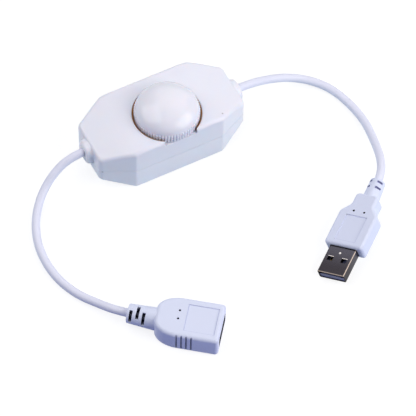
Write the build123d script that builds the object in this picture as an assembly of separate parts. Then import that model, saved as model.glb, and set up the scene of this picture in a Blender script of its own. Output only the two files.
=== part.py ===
from build123d import *
import os
from math import cos, radians, sin, tan

# Rotary lamp dimmer with a plug lead and a socket lead. Millimetres, +Z up.
# The origin is the middle of the housing's flat bottom, +X runs along the housing towards the plug lead,
# and the knob stands nearer to the front wall, on the -Y side.

# Housing
body_length = 66.2
body_width = 33.6
body_height = 22.5
end_slope_length = 13.4      # length of each tapered end, in plan and in side view
end_corner_width = 6.6       # how far each corner is cut back across the width
end_top_drop = 4.7
end_bottom_rise = 5.3
seam_height = 10.7
wall = 1.8
corner_radius = 3.0
top_bend_radius = 36.0       # where the flat top runs over into an end
bottom_bend_radius = 4.0
top_rim_radius = 1.8
bottom_rim_radius = 0.8
seam_groove = 0.2            # depth and height of the shadow line between the two halves
lip_height = 1.2
lip_gap = 0.1

# Cord glands at both ends of the housing
cord_diameter = 3.5
cord_height = 13.6
cord_gap = 0.02
cord_inside = 2.0            # length of cord behind the outer face of the end wall
gland_width = 11.0
gland_top = 17.9
gland_bottom = 7.3
gland_reach = 2.4
gland_taper = 12.0
gland_corner_radius = 4.8
gland_edge_radius = 1.6
tongue_width = 4.8           # tongue of the lower half that closes each gland under the cord
tongue_gap = 0.1
tongue_drop = 0.5            # from the cord's centre line down to the tongue's top

# Housing screws
screw_across_length = 35.0
screw_inset = 4.65           # from the outside of a long wall in to the screws
screw_boss_diameter = 6.4
screw_diameter = 2.2
screw_reach = 7.0            # length of screw in the upper half
screw_gap = 0.03
screw_head_diameter = 4.2
screw_head_height = 1.5
screw_seat_height = 4.0
screw_clear = 0.2
recess_length = 2.4
recess_width = 0.5
recess_depth = 0.8
screw_end_gap = 0.5

# Knob
knob_x = 0.6
knob_y = -3.8
knob_diameter = 27.0
knob_gap = 0.8               # between the knob and the edge of its opening
opening_edge = 0.25
slot_length = 14.4           # slot in the front wall where the knob reaches out
slot_gap = 0.5               # from the bottom of the slot up to the knob
knob_bottom = 20.6
skirt_height = 4.0
dome_height = 7.0
dome_inset = 0.35            # step from the flutes in to the foot of the dome
knob_wall = 1.8
flute_count = 68
flute_depth = 0.5
flute_width = 0.75
hub_diameter = 9.6

# Potentiometer
case_diameter = 16.4
case_height = 8.0
case_top_edge = 0.6
bush_diameter = 7.0
bush_height = 3.0
bush_depth = 2.0             # length of bush sunk in the case
shaft_diameter = 6.0
shaft_gap = 0.05
shaft_fit = 0.02
shaft_flat = 1.5
shaft_foot_gap = 0.1
shaft_foot = 2.0             # height of the case's floor under the shaft
shaft_in_knob = 8.0
terminal_diameter = 1.0
terminal_ring = 13.0
terminal_angles = (-135, -90, -45, 60, 120)
terminal_reach = 1.2         # length of pin below the board

# Circuit board
board_end_gap = 0.5          # between the board and the screw bosses
board_side_gap = 1.5         # between the board and the long walls
board_thickness = 1.6
board_height = 5.0
board_post_inset = (2.4, 2.6)
board_post_diameter = 3.4
board_pin_diameter = 1.6
board_pin_gap = 0.1
board_pin_height = 1.0
pin_hole_gap = 0.1

# Parts on the board: insets run from the board's edges in to the middle of a part
chip_size = (4.9, 3.9, 1.5)
chip_x = -1.2
chip_back_inset = 4.2
chip_lead_pitch = 1.27
chip_lead_size = (0.42, 1.1, 0.25)
chip_lift = 0.1
transistor_size = (6.5, 6.1, 2.3)
transistor_inset = (6.6, 4.3)
transistor_tab = (5.2, 1.0, 0.5)
transistor_lead_pitch = 4.6
transistor_lead = (0.8, 0.8, 0.5)
capacitor_diameter = 5.0
capacitor_height = 7.0
capacitor_inset = (5.6, 4.9)
capacitor_groove_height = 1.2
capacitor_groove_depth = 0.3
capacitor_edge = 0.4
diode_size = (2.2, 4.3, 2.1)
diode_inset = 1.5
diode_y = -3.4
diode_lead = (1.5, 0.8, 0.3)
resistor_size = (1.6, 3.2, 0.6)
resistor_inset = 2.9
resistor_ys = (-1.6, -5.8)

# Insulated wires from the cord ends to the board
lead_diameter = 1.2
lead_spacing = 1.5           # between the two wires in a cord
lead_bend_radius = 2.2
pad_inset = 1.6
pad_ys = (2.0, 4.9)
lead_crest = 12.2            # height of the bend above the board
lead_turn_x = 19.5

# Plug, in its own frame: +X out of the tip, +Z the top face, origin in the middle of the tip
plug_x = 28.1
plug_y = -93.4
plug_heading = 217.6         # direction of the tip seen from above
plug_dip = 5.8               # the tip points down
plug_roll = 17.5             # the plug lies on its lower edge
shell_width = 12.0
shell_height = 4.5
shell_length = 19.0
shell_out = 13.0             # length of shell outside the grip
sheet = 0.3
shell_corner = 0.7
shell_tip_round = 0.2
window_back = 6.8            # from the tip to the middle of the windows
window_spacing = 6.2
window_size = (2.0, 2.5)
dimple_back = 10.0
dimple_diameter = 1.0
insulator_gap = 0.05
insulator_set_back = 0.4
insulator_block = 7.0        # length of the full-height rear block
contact_pitches = (-3.5, -1.0, 1.0, 3.5)
contact_width = 1.0
contact_thickness = 0.25
contact_set_back = 1.4
contact_length = 8.0
grip_width = 17.0
grip_thickness = 7.3
grip_length = 16.1           # wide part of the grip
grip_shoulder = 4.0
neck_width = 10.0
neck_length = 5.6
grip_front_radius = 1.3
grip_shoulder_radius = 2.6
grip_rear_radius = 1.7
grip_edge_radius = 1.2
plug_panel = (12.4, 9.2, 0.3)
plug_panel_front = 2.2       # from the front of the grip to the panel
plug_dot_behind = 2.1        # from the panel to the two small holes
plug_dot_spacing = 4.7
dot_diameter = 1.0
dot_depth = 2.0

# Socket, in its own frame: +X out of the mouth, +Z the top face, origin in the middle of the mouth
socket_x = -22.4
socket_y = -96.3
socket_heading = -38.3
socket_width = 18.3
socket_thickness = 10.0
socket_straight = 16.5
socket_round = 10.0          # length of the rounded rear
socket_neck = 6.0            # width of the rear end
socket_mouth_radius = 1.4
socket_edge_radius = 1.5
socket_panel = (12.3, 12.4, 0.3)
socket_panel_front = 2.1
socket_dot_behind = 3.0
socket_dot_side = 0.8        # across from the middle of the socket
socket_dot_spacing = 3.8
groove_first = 10.7          # from the mouth to the first grip groove
groove_pitch = 1.95
groove_count = 4
groove_width = 0.6
groove_depth = 0.5
mouth_width = 12.5
mouth_height = 5.1
mouth_sheet = 0.3
mouth_depth = 14.0
mouth_corner = 0.6
tongue_across = 11.1
tongue_thickness = 1.84
tongue_set_back = 1.0
tongue_lift = 0.05           # from the mouth's middle up to the tongue
socket_block = 3.5           # length of the block at the bottom of the mouth
socket_contact_set_back = 2.0

# Strain reliefs, moulded with the plug's grip and the socket's body
relief_edge = 0.4
relief_sink = 2.0            # length moulded into the body
slot_inner_gap = 0.15        # wall left round the cord at the bottom of a slot
plug_relief_root = 7.0
plug_relief_end = 6.3
plug_relief_length = 8.6
plug_relief_side = 0.3       # across from the middle of the grip
plug_relief_tilt = 3.5
plug_slot_width = 1.0
plug_slot_spread = 50.0      # angle that one slot spans round the relief
plug_slot_rows = ((1.6, (45, 135, 225, 315)), (4.4, (45, 135, 225, 315)))
socket_relief_root = 9.2
socket_relief_end = 7.8
socket_relief_length = 11.2
socket_relief_tilt = -3.2
socket_slot_width = 1.3
socket_slot_spread = 78.0
socket_slot_rows = ((1.6, (38, 218)), (4.3, (72, 252)), (6.85, (38, 218)))
cord_in_relief = 4.0         # length of cord inside a relief
input_lead = 3.4             # straight cord outside a relief
output_lead = 4.8
input_exit_run = 9.6         # from a cord's inner end to its first bend
output_exit_run = 9.0
bend_share = 0.45            # part of the shorter run that a bend takes up

# Route of each cord over the table, between its gland and its relief
input_route = ((50.5, 1.5, 9.0), (60.3, 1.5, 4.6), (69.5, -3.5, 2.3), (75.6, -12.7, 1.8),
               (78.7, -29.1, 1.8), (75.7, -43.9, 4.6), (72.0, -55.3, 8.5))
output_route = ((-48.4, -1.0, 9.9), (-56.7, -4.9, 4.5), (-64.2, -14.0, 1.8), (-69.0, -27.1, 1.9),
                (-69.0, -41.8, 1.8), (-64.9, -53.4, 1.8), (-59.4, -61.7, 2.6))

half_length = body_length / 2
half_width = body_width / 2
flat_half = half_length - end_slope_length
knob_axis = Pos(knob_x, knob_y)
opening_radius = knob_diameter / 2 + knob_gap
slot_bottom = knob_bottom - slot_gap
screw_across_width = body_width - 2 * screw_inset
board_length = screw_across_length - screw_boss_diameter - 2 * board_end_gap
board_width = body_width - 2 * wall - 2 * board_side_gap
board_end = board_length / 2
board_back = board_width / 2
board_post_across_length = board_length - 2 * board_post_inset[0]
board_post_across_width = board_width - 2 * board_post_inset[1]
board_top = board_height + board_thickness
case_top = board_top + case_height
knob_rim = knob_bottom + skirt_height
gland_end = half_length + gland_reach
far = 3 * body_length


def box_between(low, high):
    """Block between two opposite corners."""
    size = [b - a for a, b in zip(low, high)]
    middle = [(a + b) / 2 for a, b in zip(low, high)]
    return Pos(*middle) * Box(*size)


def cylinder_up(x, y, bottom, top, diameter):
    """Upright cylinder between two heights."""
    return Pos(x, y, (bottom + top) / 2) * Cylinder(diameter / 2, top - bottom)


def four_corners(across_length, across_width):
    """Places at the four corners of a rectangle round the origin."""
    return [(sx * across_length / 2, sy * across_width / 2) for sx in (-1, 1) for sy in (-1, 1)]


def plan_outline():
    """Housing seen from above: a long octagon."""
    inner_width = half_width - end_corner_width
    right = [(flat_half, -half_width), (half_length, -inner_width), (half_length, inner_width),
             (flat_half, half_width)]
    left = [(-x, y) for x, y in reversed(right)]
    return make_face(Polyline(*right, *left, close=True))


def side_outline():
    """Housing seen from the front: flat in the middle, tapered above and below at both ends."""
    right = [(flat_half, 0), (half_length, end_bottom_rise), (half_length, body_height - end_top_drop),
             (flat_half, body_height)]
    left = [(-x, z) for x, z in reversed(right)]
    return make_face(Polyline(*right, *left, close=True))


def prism_up(outline, bottom, top):
    """Upright prism of a plan outline between two heights."""
    return Pos(0, 0, bottom) * extrude(outline, amount=top - bottom)


def on_wall(edge):
    """True for an edge along the outside walls, False for one across the top or the bottom."""
    middle = edge.center()
    return abs(middle.Y) > wall or abs(middle.X) > half_length - wall


def housing_form(inset=0.0):
    """The octagon in plan crossed with the tapered side view, or the same form moved in by an inset."""
    plan = plan_outline()
    side = side_outline()
    if inset:
        plan = offset(plan, amount=-inset, kind=Kind.INTERSECTION)
        side = offset(side, amount=-inset, kind=Kind.INTERSECTION)
    else:
        plan = fillet(plan.vertices(), corner_radius)
        bend_limit = half_length - end_slope_length / 2
        for above, radius in ((True, top_bend_radius), (False, bottom_bend_radius)):
            bends = [v for v in side.vertices() if abs(v.X) < bend_limit and (v.Y > seam_height) == above]
            side = fillet(bends, radius)
    across = Plane.XZ.location * extrude(side, amount=body_width, both=True)
    form = prism_up(plan, -1, body_height + 1) & across
    if inset:
        return form
    rims = [e for e in form.edges() if e.bounding_box().size.Z < body_height / 3 and on_wall(e)]
    form = fillet([e for e in rims if e.center().Z > seam_height], top_rim_radius)
    rims = [e for e in form.edges() if e.bounding_box().max.Z < end_bottom_rise + wall and on_wall(e)]
    return fillet(rims, bottom_rim_radius)


def gland(side):
    """Tapered, rounded boss round a cord exit, on the end wall at X = side * half_length."""
    middle = (gland_top + gland_bottom) / 2
    height = gland_top - gland_bottom
    length = gland_reach + wall
    inset = length * tan(radians(gland_taper))
    root = RectangleRounded(gland_width, height, gland_corner_radius)
    end = RectangleRounded(gland_width - 2 * inset, height - 2 * inset, gland_corner_radius - inset)
    boss = loft([root, Pos(0, 0, length) * end])
    boss = fillet(boss.faces().sort_by(Axis.Z)[-1].edges(), gland_edge_radius)
    start = Pos(side * (half_length - wall), 0, middle)
    return start * Rot(0, 0, 0 if side > 0 else 180) * Plane.YZ.location * boss


def cord_bore(side):
    """Hole for a cord through the gland and the end wall."""
    length = gland_reach + wall + 2
    middle = side * (half_length + (gland_reach - wall) / 2)
    return Pos(middle, 0, cord_height) * Rot(0, 90, 0) * Cylinder(cord_diameter / 2 + cord_gap, length)


def gland_tongue(side, gap):
    """Upright tongue under the cord: part of the lower half, and with a gap the notch that takes it."""
    half = tongue_width / 2 + gap
    inner, outer = sorted((side * (half_length - wall), side * (gland_end + 1)))
    top = cord_height - tongue_drop + gap
    return box_between((inner, -half, seam_height - gap), (outer, half, top))


def whole_housing():
    """Closed outer form with both glands."""
    return housing_form() + gland(1) + gland(-1)


def seam_line():
    """Ring that sinks the shadow line into the outer face along the seam."""
    plan = plan_outline()
    ring = offset(plan, amount=2 * gland_reach, kind=Kind.INTERSECTION)
    core = fillet(offset(plan, amount=-seam_groove, kind=Kind.INTERSECTION).vertices(), corner_radius)
    half = seam_groove / 2
    return prism_up(ring - core, seam_height - half, seam_height + half)


def lip_band(inner, outer, top):
    """Band inside the wall above the seam, between two insets from the outer face."""
    outside = offset(plan_outline(), amount=-outer, kind=Kind.INTERSECTION)
    inside = offset(plan_outline(), amount=-inner, kind=Kind.INTERSECTION)
    return prism_up(outside - inside, seam_height, seam_height + top)


def knob_opening():
    """Round opening for the knob with a softened top edge, and the slot in the front wall beside it."""
    radius = opening_radius
    top = body_height
    edge = radius + opening_edge
    profile = Polyline((0, slot_bottom), (radius, slot_bottom), (radius, top - opening_edge),
                       (edge, top), (edge, top + 1), (0, top + 1), close=True)
    opening = revolve(make_face(Plane.XZ * profile), axis=Axis.Z)
    half = slot_length / 2
    return knob_axis * (opening + box_between((-half, -body_width, slot_bottom), (half, 0, top + 1)))


def make_upper_housing():
    outer = whole_housing()
    above = box_between((-far, -far, seam_height), (far, far, far))
    shell = (outer & above) - housing_form(wall)
    ceiling = body_height - wall / 2
    bosses = [cylinder_up(x, y, seam_height, ceiling, screw_boss_diameter)
              for x, y in four_corners(screw_across_length, screw_across_width)]
    shell = shell + (Part() + bosses & housing_form(wall / 2))
    pilot_top = seam_height + screw_reach + screw_end_gap
    for x, y in four_corners(screw_across_length, screw_across_width):
        shell -= cylinder_up(x, y, seam_height, pilot_top, screw_diameter + 2 * screw_gap)
    shell -= lip_band(wall + 1, wall / 2, lip_height + lip_gap) - Part() - bosses
    for side in (-1, 1):
        shell -= gland_tongue(side, tongue_gap)
        shell -= cord_bore(side)
    return shell - knob_opening() - seam_line()


def make_lower_housing():
    outer = whole_housing()
    below = box_between((-far, -far, -far), (far, far, seam_height))
    shell = (outer & below) - housing_form(wall)
    shell += lip_band(wall, wall / 2 + lip_gap, lip_height)
    inner_form = housing_form(wall / 2)
    posts = [cylinder_up(x, y, wall / 2, board_height, board_post_diameter)
             for x, y in four_corners(board_post_across_length, board_post_across_width)]
    pins = [cylinder_up(x, y, wall / 2, board_top + board_pin_height, board_pin_diameter)
            for x, y in four_corners(board_post_across_length, board_post_across_width)]
    screw_places = four_corners(screw_across_length, screw_across_width)
    bosses = [cylinder_up(x, y, wall / 2, seam_height, screw_boss_diameter) for x, y in screw_places]
    boss_gap = screw_boss_diameter + 2 * lip_gap
    for x, y in screw_places:
        shell -= cylinder_up(x, y, seam_height, seam_height + 2 * lip_height, boss_gap)
    shell += (Part() + posts + pins + bosses) & inner_form
    for x, y in screw_places:
        shell -= cylinder_up(x, y, -1, seam_height + 1, screw_diameter + 2 * screw_clear)
        shell -= cylinder_up(x, y, -1, screw_seat_height, screw_head_diameter + 2 * screw_clear)
    for side in (-1, 1):
        shell += gland_tongue(side, 0) & outer
        shell -= cord_bore(side)
    return shell - seam_line()


def make_housing_screws():
    screws = []
    head_bottom = screw_seat_height - screw_head_height
    for x, y in four_corners(screw_across_length, screw_across_width):
        screw = cylinder_up(x, y, screw_seat_height, seam_height + screw_reach, screw_diameter)
        head = cylinder_up(x, y, head_bottom, screw_seat_height, screw_head_diameter)
        head = fillet(head.edges().sort_by(Axis.Z)[0], screw_head_height / 3)
        for turn in (0, 90):
            slot = Box(recess_length, recess_width, 2 * recess_depth)
            head -= Pos(x, y, head_bottom) * Rot(0, 0, turn) * slot
        screws.append(screw + head)
    return Compound(children=screws)


def shaft_section(extra=0.0):
    """Round shaft with a flat on its back."""
    radius = shaft_diameter / 2 + extra
    return Circle(radius) - Pos(0, 2 * radius - shaft_flat + extra) * Rectangle(4 * radius, 2 * radius)


def make_knob():
    radius = knob_diameter / 2
    foot = radius - dome_inset
    outer_curve = EllipticalCenterArc((0, knob_rim), foot, dome_height, start_angle=0, arc_size=90)
    outline = [Polyline((0, knob_rim + dome_height), (0, knob_bottom), (radius, knob_bottom),
                        (radius, knob_rim - dome_inset), (foot, knob_rim)), outer_curve]
    solid = revolve(Plane.XZ * make_face(outline), axis=Axis.Z)
    inner_radius = radius - flute_depth - knob_wall
    inner_height = dome_height - knob_wall
    inner_curve = EllipticalCenterArc((0, knob_rim), inner_radius, inner_height, start_angle=0, arc_size=90)
    hollow_outline = [Polyline((0, knob_rim + inner_height), (0, knob_bottom), (inner_radius, knob_bottom),
                               (inner_radius, knob_rim)), inner_curve]
    hollow = revolve(Plane.XZ * make_face(hollow_outline), axis=Axis.Z)
    hub = cylinder_up(0, 0, knob_bottom, knob_rim + dome_height, hub_diameter)
    solid -= hollow - hub
    bore_top = knob_bottom + shaft_in_knob + shaft_foot_gap
    solid -= prism_up(shaft_section(shaft_fit), knob_bottom, bore_top)
    notch = Polyline((radius - flute_depth, 0), (radius + flute_depth, flute_width),
                     (radius + flute_depth, -flute_width), close=True)
    flute = prism_up(make_face(notch), knob_bottom, knob_rim)
    turns = [Rot(0, 0, 360 * i / flute_count) * flute for i in range(flute_count)]
    return knob_axis * (solid - turns)


def make_potentiometer_case():
    case = cylinder_up(0, 0, board_top, case_top, case_diameter)
    case = fillet(case.edges().sort_by(Axis.Z)[-1], case_top_edge)
    case -= cylinder_up(0, 0, case_top - bush_depth, case_top, bush_diameter)
    case -= cylinder_up(0, 0, board_top + shaft_foot, case_top, shaft_diameter + 2 * shaft_gap)
    return knob_axis * case


def make_potentiometer_bush():
    bush = cylinder_up(0, 0, case_top - bush_depth, case_top + bush_height, bush_diameter)
    bush -= cylinder_up(0, 0, case_top - bush_depth, case_top + bush_height, shaft_diameter + 2 * shaft_gap)
    return knob_axis * bush


def make_potentiometer_shaft():
    foot = board_top + shaft_foot + shaft_foot_gap
    shaft = cylinder_up(0, 0, foot, knob_bottom, shaft_diameter)
    shaft += prism_up(shaft_section(), knob_bottom, knob_bottom + shaft_in_knob)
    return knob_axis * shaft


def terminal_places():
    """Middle of each potentiometer pin."""
    ring = terminal_ring / 2
    return [(knob_x + ring * cos(radians(a)), knob_y + ring * sin(radians(a))) for a in terminal_angles]


def make_potentiometer_terminals():
    bottom = board_height - terminal_reach
    return Compound(children=[cylinder_up(x, y, bottom, board_top, terminal_diameter)
                              for x, y in terminal_places()])


def make_circuit_board():
    board = box_between((-board_length / 2, -board_width / 2, board_height),
                        (board_length / 2, board_width / 2, board_top))
    for x, y in four_corners(board_post_across_length, board_post_across_width):
        board -= cylinder_up(x, y, board_height, board_top, board_pin_diameter + 2 * board_pin_gap)
    for x, y in terminal_places():
        board -= cylinder_up(x, y, board_height, board_top, terminal_diameter + 2 * pin_hole_gap)
    return board


def corner_place(side, inset):
    """Place on the board, inset from its back edge and from the end on one side."""
    return side * (board_end - inset[0]), board_back - inset[1]


def block_on_board(place, size, lift=0.0):
    """Block standing on the board over a place, or held above it by a lift."""
    x, y = place
    return Pos(x, y, board_top + lift + size[2] / 2) * Box(*size)


def make_control_chip():
    x, y = chip_x, board_back - chip_back_inset
    width = chip_size[1]
    lead_width, lead_length, lead_thickness = chip_lead_size
    bottom = board_top + chip_lift
    chip = block_on_board((x, y), chip_size, chip_lift)
    for i in range(4):
        lead_x = x + (i - 1.5) * chip_lead_pitch
        low = (lead_x - lead_width / 2, y - width / 2 - lead_length, board_top)
        high = (lead_x + lead_width / 2, y + width / 2 + lead_length, bottom + lead_thickness)
        chip += box_between(low, high)
    return chip


def make_power_transistor():
    x, y = corner_place(1, transistor_inset)
    width = transistor_size[1]
    tab_length, tab_reach, tab_thickness = transistor_tab
    lead_width, lead_reach, lead_thickness = transistor_lead
    body = block_on_board((x, y), transistor_size)
    body += box_between((x - tab_length / 2, y, board_top),
                        (x + tab_length / 2, y + width / 2 + tab_reach, board_top + tab_thickness))
    for side in (-1, 1):
        lead_x = x + side * transistor_lead_pitch / 2
        body += box_between((lead_x - lead_width / 2, y - width / 2 - lead_reach, board_top),
                            (lead_x + lead_width / 2, y, board_top + lead_thickness))
    return body


def make_electrolytic_capacitor():
    x, y = corner_place(-1, capacitor_inset)
    radius = capacitor_diameter / 2
    groove = board_top + capacitor_groove_height
    can = cylinder_up(x, y, board_top, board_top + capacitor_height, capacitor_diameter)
    can = fillet(can.edges().sort_by(Axis.Z)[-1], capacitor_edge)
    return can - Pos(x, y, groove) * Torus(radius + capacitor_groove_depth / 3, capacitor_groove_depth)


def make_protection_diode():
    lead_width, lead_reach, lead_thickness = diode_lead
    leads = (lead_width, diode_size[1] + 2 * lead_reach, lead_thickness)
    place = (board_end - diode_inset, diode_y)
    return block_on_board(place, diode_size) + block_on_board(place, leads)


def make_chip_resistors():
    return Compound(children=[block_on_board((resistor_inset - board_end, y), resistor_size)
                              for y in resistor_ys])


def tube(points, radii, diameter):
    """Round tube along straight runs joined by arcs, and the path that it follows."""
    path = FilletPolyline(*points, radius=radii)
    section = Plane(origin=path @ 0, z_dir=path % 0) * Circle(diameter / 2)
    return sweep(section, path=path), path


def make_leads(side):
    """The two insulated wires from a cord's inner end down to the board."""
    start_x = half_length - cord_inside
    pad_x = board_end - pad_inset
    wires = []
    for pad_y, offset_y in zip(pad_ys, (-lead_spacing / 2, lead_spacing / 2)):
        points = [(side * start_x, offset_y, cord_height), (side * lead_turn_x, offset_y, cord_height),
                  (side * pad_x, pad_y, lead_crest), (side * pad_x, pad_y, board_top)]
        wires.append(tube(points, lead_bend_radius, lead_diameter)[0])
    return Compound(children=wires)


def relief_place(root_x, root_y, tilt):
    """Frame of a strain relief at the point where it leaves the body, +X towards its free end."""
    return Pos(root_x, root_y, 0) * Rot(0, 0, 180 + tilt)


def relief_body(root, end, length):
    """Tapered round relief with its foot sunk in the body."""
    profile = Polyline((-relief_sink, 0), (-relief_sink, root / 2), (0, root / 2), (length, end / 2),
                       (length, 0), close=True)
    body = revolve(make_face(profile), axis=Axis.X)
    return fillet(body.edges().sort_by(Axis.X)[-1], relief_edge)


def relief_slots(root, length, rows, width, spread):
    """Slots cut round the relief, in rows counted from its free end."""
    reach = root
    inner = Circle(cord_diameter / 2 + slot_inner_gap)
    half = radians(spread / 2)
    arm = (reach * cos(half), reach * sin(half))
    outline = [Line((0, 0), (arm[0], -arm[1])), CenterArc((0, 0), reach, -spread / 2, spread),
               Line((arm[0], arm[1]), (0, 0))]
    sector = make_face(outline) - inner
    slots = []
    for from_end, angles in rows:
        for angle in angles:
            block = extrude(Rot(0, 0, angle) * sector, amount=width / 2, both=True)
            slots.append(Pos(length - from_end, 0, 0) * Plane.YZ.location * block)
    return slots


def relief_bore(depth, length):
    """Hole for the cord from a relief's free end inwards."""
    return Pos(length - depth / 2, 0, 0) * Rot(0, 90, 0) * Cylinder(cord_diameter / 2 + cord_gap, depth)


def small_holes(x, middle, spacing, top):
    """Two small round holes side by side in a top face, on either side of a middle."""
    places = [middle + side * spacing / 2 for side in (-1, 1)]
    return [cylinder_up(x, y, top - dot_depth, top + 1, dot_diameter) for y in places]


def top_panel(front, size, top):
    """Shallow recess in a top face, behind a front edge."""
    length, width, depth = size
    return box_between((front - length, -width / 2, top - depth), (front, width / 2, top + 1))


def plug_envelope():
    """Outside of the plug's steel shell."""
    section = RectangleRounded(shell_width, shell_height, shell_corner)
    block = Pos(-shell_length, 0, 0) * Plane.YZ.location * extrude(section, amount=shell_length)
    return fillet(block.faces().sort_by(Axis.X)[-1].edges(), shell_tip_round)


def make_plug_grip():
    """Plug grip with its strain relief, in the plug's frame."""
    front = -shell_out
    shoulder = front - grip_length
    neck = shoulder - grip_shoulder
    rear = neck - neck_length
    half = grip_width / 2
    narrow = neck_width / 2
    right = [(front, half), (shoulder, half), (neck, narrow), (rear, narrow)]
    left = [(x, -y) for x, y in reversed(right)]
    rounding = [grip_front_radius, grip_shoulder_radius, grip_shoulder_radius, grip_rear_radius]
    outline = FilletPolyline(*right, *left, radius=rounding + rounding[::-1], close=True)
    grip = extrude(make_face(outline), amount=grip_thickness / 2, both=True)
    flat_rims = grip.faces().sort_by(Axis.Z)[-1].edges() + grip.faces().sort_by(Axis.Z)[0].edges()
    grip = fillet(flat_rims, grip_edge_radius)
    relief = relief_place(rear, plug_relief_side, plug_relief_tilt)
    grip += relief * relief_body(plug_relief_root, plug_relief_end, plug_relief_length)
    slots = relief_slots(plug_relief_root, plug_relief_length, plug_slot_rows, plug_slot_width,
                         plug_slot_spread)
    grip -= [relief * slot for slot in slots]
    grip -= relief * relief_bore(cord_in_relief, plug_relief_length)
    top = grip_thickness / 2
    panel_front = front - plug_panel_front
    grip -= top_panel(panel_front, plug_panel, top)
    grip -= small_holes(panel_front - plug_panel[0] - plug_dot_behind, 0, plug_dot_spacing, top)
    return grip - plug_envelope(), relief


def make_plug_shell():
    inner = RectangleRounded(shell_width - 2 * sheet, shell_height - 2 * sheet, shell_corner - sheet)
    hollow = Pos(-shell_length, 0, 0) * Plane.YZ.location * extrude(inner, amount=shell_length)
    shell = plug_envelope() - hollow
    along, across = window_size
    for side in (-1, 1):
        shell -= Pos(-window_back, side * window_spacing / 2, 0) * Box(along, across, 2 * shell_height)
    return shell - Pos(-dimple_back, 0, shell_height / 2) * Cylinder(dimple_diameter / 2, shell_height)


def contact_strips(front, length, bottom, thickness):
    """Four flat contacts side by side, running back from a front edge."""
    return [box_between((front - length, y - contact_width / 2, bottom),
                        (front, y + contact_width / 2, bottom + thickness)) for y in contact_pitches]


def make_plug_contacts():
    return contact_strips(-contact_set_back, contact_length, -contact_thickness, contact_thickness)


def make_plug_insulator():
    inset = 2 * (sheet + insulator_gap)
    section = RectangleRounded(shell_width - inset, shell_height - inset, shell_corner - sheet)
    length = shell_length - insulator_set_back
    blade = Pos(-shell_length, 0, 0) * Plane.YZ.location * extrude(section, amount=length)
    block_front = insulator_block - shell_length
    blade -= box_between((block_front, -shell_width, 0), (0, shell_width, shell_height))
    return blade - make_plug_contacts()


def mouth_section(extra):
    """Rounded rectangle of the socket's mouth, grown by an extra on every side."""
    return RectangleRounded(mouth_width + 2 * extra, mouth_height + 2 * extra, mouth_corner + extra)


def mouth_block(extra):
    """The mouth's section carried back to its depth."""
    return Pos(-mouth_depth, 0, 0) * Plane.YZ.location * extrude(mouth_section(extra), amount=mouth_depth)


def make_socket_body():
    """Socket body with its strain relief, in the socket's frame."""
    half = socket_width / 2
    narrow = socket_neck / 2
    rear = -socket_straight - socket_round
    corner = EllipticalCenterArc((-socket_straight, narrow), socket_round, half - narrow, start_angle=90,
                                 arc_size=90)
    outline = [Polyline((rear, narrow), (rear, 0), (0, 0), (0, half), (-socket_straight, half)), corner]
    half_face = make_face(outline)
    mouth_corners = [v for v in half_face.vertices() if abs(v.X) < 1e-6 and v.Y > narrow]
    half_face = fillet(mouth_corners, socket_mouth_radius)
    face = half_face + mirror(half_face, about=Plane.XZ)
    body = extrude(face, amount=socket_thickness / 2, both=True)
    flat_rims = body.faces().sort_by(Axis.Z)[-1].edges() + body.faces().sort_by(Axis.Z)[0].edges()
    body = fillet(flat_rims, socket_edge_radius)
    for i in range(groove_count):
        for side in (-1, 1):
            groove_x = -groove_first - i * groove_pitch
            body -= Pos(groove_x, side * half, 0) * Box(groove_width, 2 * groove_depth, socket_thickness)
    relief = relief_place(rear, 0, socket_relief_tilt)
    body += relief * relief_body(socket_relief_root, socket_relief_end, socket_relief_length)
    slots = relief_slots(socket_relief_root, socket_relief_length, socket_slot_rows, socket_slot_width,
                         socket_slot_spread)
    body -= [relief * slot for slot in slots]
    body -= relief * relief_bore(cord_in_relief, socket_relief_length)
    top = socket_thickness / 2
    body -= top_panel(-socket_panel_front, socket_panel, top)
    hole_x = -socket_panel_front - socket_panel[0] - socket_dot_behind
    body -= small_holes(hole_x, socket_dot_side, socket_dot_spacing, top)
    return body - mouth_block(mouth_sheet), relief


def make_socket_shell():
    return mouth_block(mouth_sheet) - mouth_block(0)


def make_socket_contacts():
    length = mouth_depth - socket_block - socket_contact_set_back
    bottom = tongue_lift - contact_thickness
    return contact_strips(-socket_contact_set_back, length, bottom, contact_thickness)


def make_socket_insulator():
    back = Pos(-mouth_depth, 0, 0) * Plane.YZ.location
    block = back * extrude(mouth_section(-insulator_gap), amount=socket_block)
    across = tongue_across / 2
    return block + box_between((-mouth_depth, -across, tongue_lift),
                               (-tongue_set_back, across, tongue_lift + tongue_thickness))


def cord_points(side, route, relief):
    """Whole route of a cord: straight out of its gland, over the table and straight into its relief."""
    inner_end = half_length - cord_inside
    exit_run, straight = (input_exit_run, input_lead) if side > 0 else (output_exit_run, output_lead)
    start = (side * inner_end, 0, cord_height)
    out = (side * (inner_end + exit_run), 0, cord_height)
    free_end = plug_relief_length if side > 0 else socket_relief_length
    lead = (relief * Pos(free_end + straight, 0, 0)).position
    stop = (relief * Pos(free_end - cord_in_relief, 0, 0)).position
    return [Vector(*p) for p in (start, out, *route)] + [lead, stop]


def make_cord(name, points):
    """Cord along its route, with each bend as wide as its two runs allow."""
    runs = [b - a for a, b in zip(points, points[1:])]
    radii = []
    for a, b in zip(runs, runs[1:]):
        half_turn = radians(a.get_angle(b) / 2)
        radii.append(bend_share * min(a.length, b.length) / tan(half_turn))
    solid, path = tube(points, radii, cord_diameter)
    straight_volume = path.length * Circle(cord_diameter / 2).area
    print(name, "points", [tuple(round(c, 2) for c in p) for p in points])
    print(name, "runs", [round(r.length, 1) for r in runs], "radii", [round(r, 1) for r in radii])
    print(name, "length", round(path.length, 1))
    print(name, "volume", round(solid.volume, 1), "section times length", round(straight_volume, 1))
    return solid


def seated(frame, shape):
    """The frame raised or lowered so that the shape's lowest point lies on the table."""
    return Pos(0, 0, -(frame * shape).bounding_box().min.Z) * frame


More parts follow.
